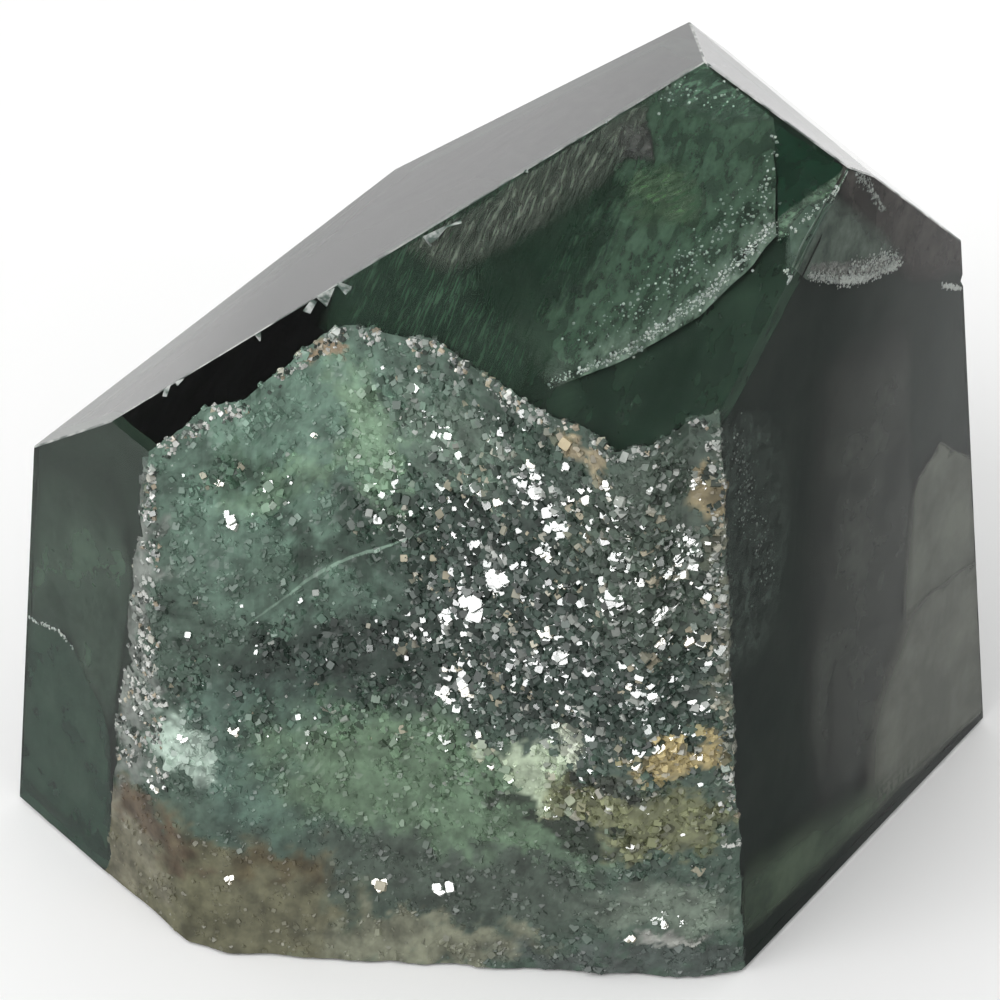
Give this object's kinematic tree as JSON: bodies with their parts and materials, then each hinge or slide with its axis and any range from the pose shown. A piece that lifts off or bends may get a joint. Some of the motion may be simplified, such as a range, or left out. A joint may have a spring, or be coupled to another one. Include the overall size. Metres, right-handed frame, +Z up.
{
  "type": "fluorite point",
  "caption": "Squat polished point of dark green fluorite that stands on a flat base, with ground sides, sloping crown facets and a natural drusy skin left on its front.",
  "frame": {"origin": "the middle of the flat base, under the middle of the stone's width and depth", "axes": "+X across the drusy front towards the higher shoulder, -Y out of the drusy front, +Z up from the base to the apex"},
  "size_m": [0.0635, 0.0517, 0.0524],
  "materials": {
    "fluorite": "polished see-through dark green fluorite, refractive index 1.434",
    "druse": "unpolished crystal skin, sparkling, with milky and iron-stained patches"
  },
  "bodies": {
    "root": {"fluorite_point": "fluorite"}
  },
  "joints": []
}
